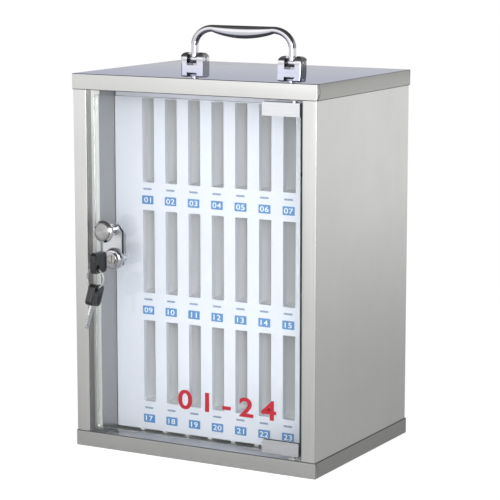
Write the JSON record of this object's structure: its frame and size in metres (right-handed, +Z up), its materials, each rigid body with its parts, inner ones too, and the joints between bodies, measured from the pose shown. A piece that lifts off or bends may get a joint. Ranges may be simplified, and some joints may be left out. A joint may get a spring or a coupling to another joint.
{
  "type": "phone locker box",
  "caption": "Sheet steel box with a keyed glass door, a folding carrying handle and a rack of upright slots that each hold one phone.",
  "frame": {"origin": "centre of the box's footprint, at the underside of the bottom tray", "axes": "+Z up, -Y towards the glass door, +X towards the door's pivots"},
  "size_m": [0.325, 0.2948, 0.504],
  "materials": {
    "brushed_stainless": "fine brushed stainless sheet",
    "white_board": "white board, satin",
    "plated_steel": "zinc plated",
    "blue_tag": "printed blue tag with white numbers",
    "nylon": "natural nylon",
    "chrome": "polished chrome",
    "clear_glass": "clear float glass with ground edges",
    "satin_clip": "fine satin stainless",
    "black_rubber": "black rubber",
    "satin_knob": "turned and satin plated face",
    "clear_bumper": "clear soft bumper",
    "plug_zinc": "plated zinc",
    "wafer_brass": "plain brass",
    "key_steel": "nickel plated",
    "black_plastic": "black moulded plastic"
  },
  "bodies": {
    "cabinet": {"bottom_tray": "brushed_stainless", "top_cover": "brushed_stainless", "left_side_panel": "brushed_stainless", "right_side_panel": "brushed_stainless", "back_panel": "brushed_stainless", "rack_panel_rails": "white_board", "rack_panel_posts": "white_board", "rack_dividers": "white_board", "rack_shelves": "white_board", "rack_back_board": "white_board", "rack_support_angles": "plated_steel", "rack_screws": "plated_steel", "number_tags": "blue_tag", "pivot_bushes": "nylon", "handle_bracket_left": "chrome", "handle_bracket_right": "chrome", "handle_screws": "plated_steel", "handle_pins": "plated_steel"},
    "door": {"door_glass": "clear_glass", "hinge_clip_top": "satin_clip", "hinge_clip_bottom": "satin_clip", "hinge_clip_pads": "black_rubber", "hinge_grub_screws": "plated_steel", "hinge_pivot_pins": "plated_steel", "lock_plate": "satin_clip", "lock_back_plate": "satin_clip", "lock_gaskets": "black_rubber", "lock_housing": "chrome", "lock_nut": "plated_steel", "knob": "satin_knob", "knob_collar": "chrome", "knob_screw": "plated_steel", "door_bumpers": "clear_bumper"},
    "lock_plug": {"lock_plug": "plug_zinc", "lock_wafers": "wafer_brass", "lock_cam": "plated_steel", "cam_nut": "plated_steel"},
    "key": {"key_blade": "key_steel", "key_bow": "black_plastic"},
    "key_ring": {"key_ring": "key_steel"},
    "spare_key": {"spare_key_blade": "key_steel", "spare_key_bow": "black_plastic"},
    "handle": {"handle_bail": "chrome"}
  },
  "joints": [
    {"name": "door_swing", "type": "hinge", "parent": "cabinet", "child": "door", "pos_m": [0.13, -0.115, 0.225], "axis": [0, 0, 1], "range_deg": [0, 120]},
    {"name": "key_turn", "type": "hinge", "parent": "door", "child": "lock_plug", "pos_m": [-0.1075, -0.1275, 0.233], "axis": [0, -1, 0], "range_deg": [0, 90]},
    {"name": "key_pull", "type": "slide", "parent": "lock_plug", "child": "key", "axis": [0, -1, 0], "range_m": [0, 0.032]},
    {"name": "ring_slip", "type": "hinge", "parent": "key", "child": "key_ring", "pos_m": [-0.1075, -0.1615, 0.21538], "axis": [0, -1, 0], "range_deg": [-90, 0]},
    {"name": "spare_key_swing", "type": "hinge", "parent": "key_ring", "child": "spare_key", "pos_m": [-0.10931, -0.1615, 0.20392], "axis": [0.9877, 0, -0.1564], "range_deg": [-25, 25]},
    {"name": "handle_fold", "type": "hinge", "parent": "cabinet", "child": "handle", "pos_m": [0, 0, 0.4625], "axis": [1, 0, 0], "range_deg": [-90, 90]}
  ],
  "couplings": [
    {"joint": "ring_slip", "follows": "key_turn", "ratio": -1}
  ]
}
